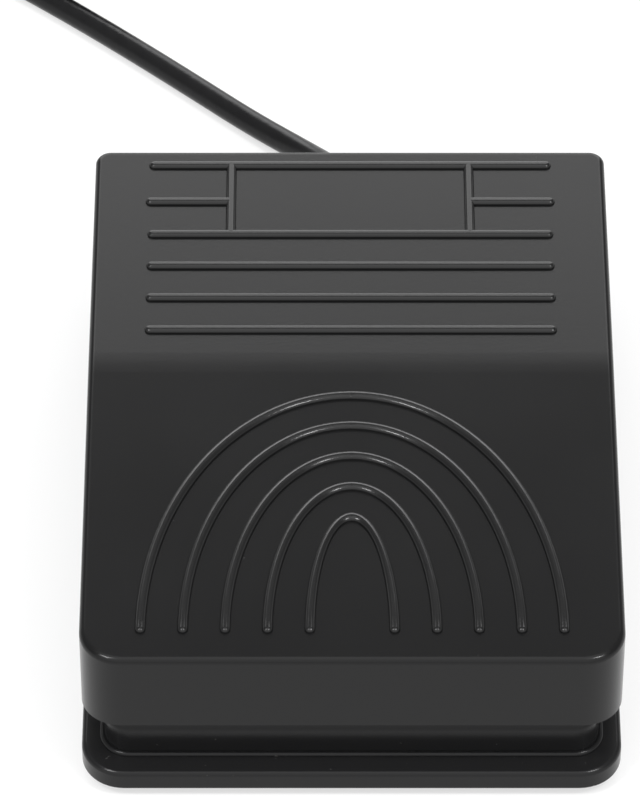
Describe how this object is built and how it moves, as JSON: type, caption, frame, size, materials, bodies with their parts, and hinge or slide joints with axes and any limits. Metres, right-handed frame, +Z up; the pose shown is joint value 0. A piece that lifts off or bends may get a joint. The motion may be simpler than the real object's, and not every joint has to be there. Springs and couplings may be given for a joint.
{
  "type": "sewing machine foot pedal",
  "caption": "Low wedge-shaped foot speed pedal with a ribbed rocking treadle over a flanged base, sprung and hinged at the rear, on a round cord with a jack plug.",
  "frame": {"origin": "on the floor, under the middle of the base's footprint", "axes": "+Y from the toe end to the hinge and the cord exit, +Z up, +X to the right"},
  "size_m": [0.1259, 0.2266, 0.0308],
  "materials": {
    "grey_plastic": "fine matt moulded texture",
    "black_plastic": "fine matt moulded texture",
    "rubber": "matt moulded rubber",
    "cord_jacket": "glossy PVC jacket",
    "cord_rubber": "satin moulded PVC",
    "screw_steel": "zinc-plated",
    "spring_steel": "drawn wire",
    "plug_metal": "nickel-plated",
    "insulator": "moulded ring",
    "white_plastic": "natural acetal",
    "board": "green solder mask",
    "components": "moulded and lacquered cases",
    "sensor_case": "pressed tin-plated case",
    "lead_red": "PVC insulation",
    "lead_black": "PVC insulation"
  },
  "bodies": {
    "base": {"base_plate": "black_plastic", "base_housing": "black_plastic", "foot_front_left": "rubber", "foot_front_right": "rubber", "foot_rear_left": "rubber", "foot_rear_right": "rubber", "housing_screws": "screw_steel", "hinge_pin_left": "screw_steel", "hinge_pin_right": "screw_steel", "stop_pad_left": "rubber", "stop_pad_right": "rubber", "return_spring_left": "spring_steel", "return_spring_right": "spring_steel", "potentiometer": "sensor_case", "circuit_board": "board", "board_screws": "screw_steel", "board_components": "components", "cord_clamp": "black_plastic", "clamp_screws": "screw_steel", "cord_inner_end": "cord_jacket", "strain_relief": "cord_rubber", "lead_left": "lead_red", "lead_right": "lead_black", "cord_run": "cord_jacket", "cord_coil": "cord_jacket", "cord_tail": "cord_jacket", "plug_grip": "cord_rubber", "plug_sleeve": "plug_metal", "plug_insulator": "insulator", "plug_tip": "plug_metal"},
    "treadle": {"treadle_cover": "grey_plastic", "pusher": "white_plastic"},
    "sensor": {"sensor_lever": "white_plastic", "sensor_shaft": "screw_steel"}
  },
  "joints": [
    {"name": "treadle_hinge", "type": "hinge", "parent": "base", "child": "treadle", "pos_m": [0, 0.041, 0.014], "axis": [1, 0, 0], "range_deg": [0, 5], "stiffness_Nm_per_rad": 5.6, "springref_deg": -4.3, "deforming": ["return_spring_left", "return_spring_right"]},
    {"name": "sensor_turn", "type": "hinge", "parent": "base", "child": "sensor", "pos_m": [0, 0.017, 0.0116], "axis": [1, 0, 0], "range_deg": [0, 15]}
  ],
  "couplings": [
    {"joint": "sensor_turn", "follows": "treadle_hinge", "ratio": 3}
  ]
}
